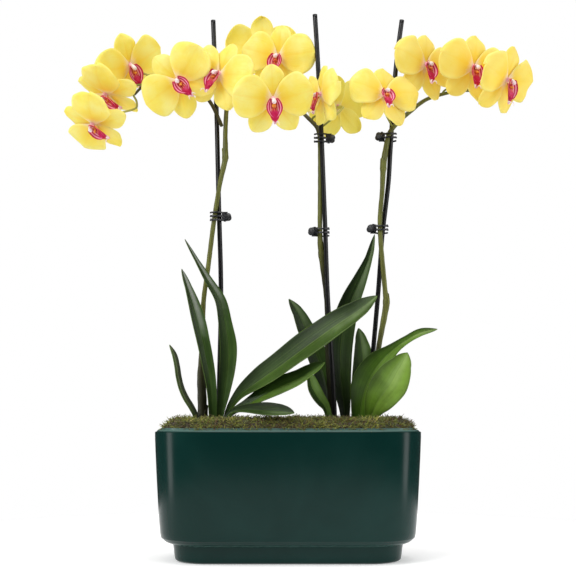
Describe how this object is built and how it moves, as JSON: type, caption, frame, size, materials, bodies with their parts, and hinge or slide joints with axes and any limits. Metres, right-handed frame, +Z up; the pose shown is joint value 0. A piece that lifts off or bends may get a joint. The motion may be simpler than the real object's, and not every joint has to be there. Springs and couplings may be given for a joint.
{
  "type": "potted orchid planter",
  "caption": "Moth orchids with arching sprays of yellow blooms, clipped to canes, growing from moss in a long rounded glazed planter.",
  "frame": {"origin": "centre of the planter's flat underside, on the surface it stands on", "axes": "+Z up, +X along the length of the planter, -Y towards the front that the blooms face"},
  "size_m": [0.5523, 0.1517, 0.6538],
  "materials": {
    "planter_glaze": "gloss",
    "bark": "matte",
    "moss": "matte",
    "stake_plastic": "satin",
    "spike_green": "satin",
    "leaf_green": "satin",
    "petal_yellow": "matte",
    "lip_crimson": "satin",
    "clip_plastic": "satin"
  },
  "bodies": {
    "root": {"planter": "planter_glaze", "bark_mix": "bark", "moss_bed": "moss", "stake_left": "stake_plastic", "stake_middle": "stake_plastic", "stake_right": "stake_plastic", "spike_left": "spike_green", "spike_left_branch": "spike_green", "spike_middle": "spike_green", "spike_right": "spike_green", "leaf_left_1": "leaf_green", "leaf_left_2": "leaf_green", "leaf_left_3": "leaf_green", "leaf_left_4": "leaf_green", "leaf_left_5": "leaf_green", "leaf_left_6": "leaf_green", "leaf_middle_1": "leaf_green", "leaf_middle_2": "leaf_green", "leaf_middle_3": "leaf_green", "leaf_right_1": "leaf_green", "leaf_right_2": "leaf_green", "leaf_right_3": "leaf_green", "bloom_1": "petal_yellow", "bloom_2": "petal_yellow", "bloom_3": "petal_yellow", "bloom_4": "petal_yellow", "bloom_5": "petal_yellow", "bloom_6": "petal_yellow", "bloom_7": "petal_yellow", "bloom_8": "petal_yellow", "bloom_9": "petal_yellow", "bloom_10": "petal_yellow", "bloom_11": "petal_yellow", "bloom_12": "petal_yellow", "bloom_13": "petal_yellow", "bloom_14": "petal_yellow", "lip_1": "lip_crimson", "lip_2": "lip_crimson", "lip_3": "lip_crimson", "lip_4": "lip_crimson", "lip_5": "lip_crimson", "lip_6": "lip_crimson", "lip_7": "lip_crimson", "lip_8": "lip_crimson", "lip_9": "lip_crimson", "lip_10": "lip_crimson", "lip_11": "lip_crimson", "lip_12": "lip_crimson", "lip_13": "lip_crimson", "lip_14": "lip_crimson", "clip_1_fixed_jaw": "clip_plastic", "clip_2_fixed_jaw": "clip_plastic", "clip_3_fixed_jaw": "clip_plastic", "clip_4_fixed_jaw": "clip_plastic", "clip_5_fixed_jaw": "clip_plastic"},
    "clip_1_lever": {"clip_1_lever_jaw": "clip_plastic"},
    "clip_2_lever": {"clip_2_lever_jaw": "clip_plastic"},
    "clip_3_lever": {"clip_3_lever_jaw": "clip_plastic"},
    "clip_4_lever": {"clip_4_lever_jaw": "clip_plastic"},
    "clip_5_lever": {"clip_5_lever_jaw": "clip_plastic"}
  },
  "joints": [
    {"name": "clip_1_hinge", "type": "hinge", "parent": "root", "child": "clip_1_lever", "pos_m": [-0.0737, 0.001, 0.391], "axis": [0, 0, -1], "range_deg": [0, 30], "stiffness_Nm_per_rad": 0.02},
    {"name": "clip_2_hinge", "type": "hinge", "parent": "root", "child": "clip_2_lever", "pos_m": [0.0479, 0.0042, 0.485], "axis": [0, 0, -1], "range_deg": [0, 30], "stiffness_Nm_per_rad": 0.02},
    {"name": "clip_3_hinge", "type": "hinge", "parent": "root", "child": "clip_3_lever", "pos_m": [0.0311, 0.0019, 0.374], "axis": [0, 0, -1], "range_deg": [0, 30], "stiffness_Nm_per_rad": 0.02},
    {"name": "clip_4_hinge", "type": "hinge", "parent": "root", "child": "clip_4_lever", "pos_m": [0.1105, 0.001, 0.487], "axis": [0, 0, -1], "range_deg": [0, 30], "stiffness_Nm_per_rad": 0.02},
    {"name": "clip_5_hinge", "type": "hinge", "parent": "root", "child": "clip_5_lever", "pos_m": [0.0995, -0.0003, 0.377], "axis": [0, 0, -1], "range_deg": [0, 30], "stiffness_Nm_per_rad": 0.02}
  ]
}
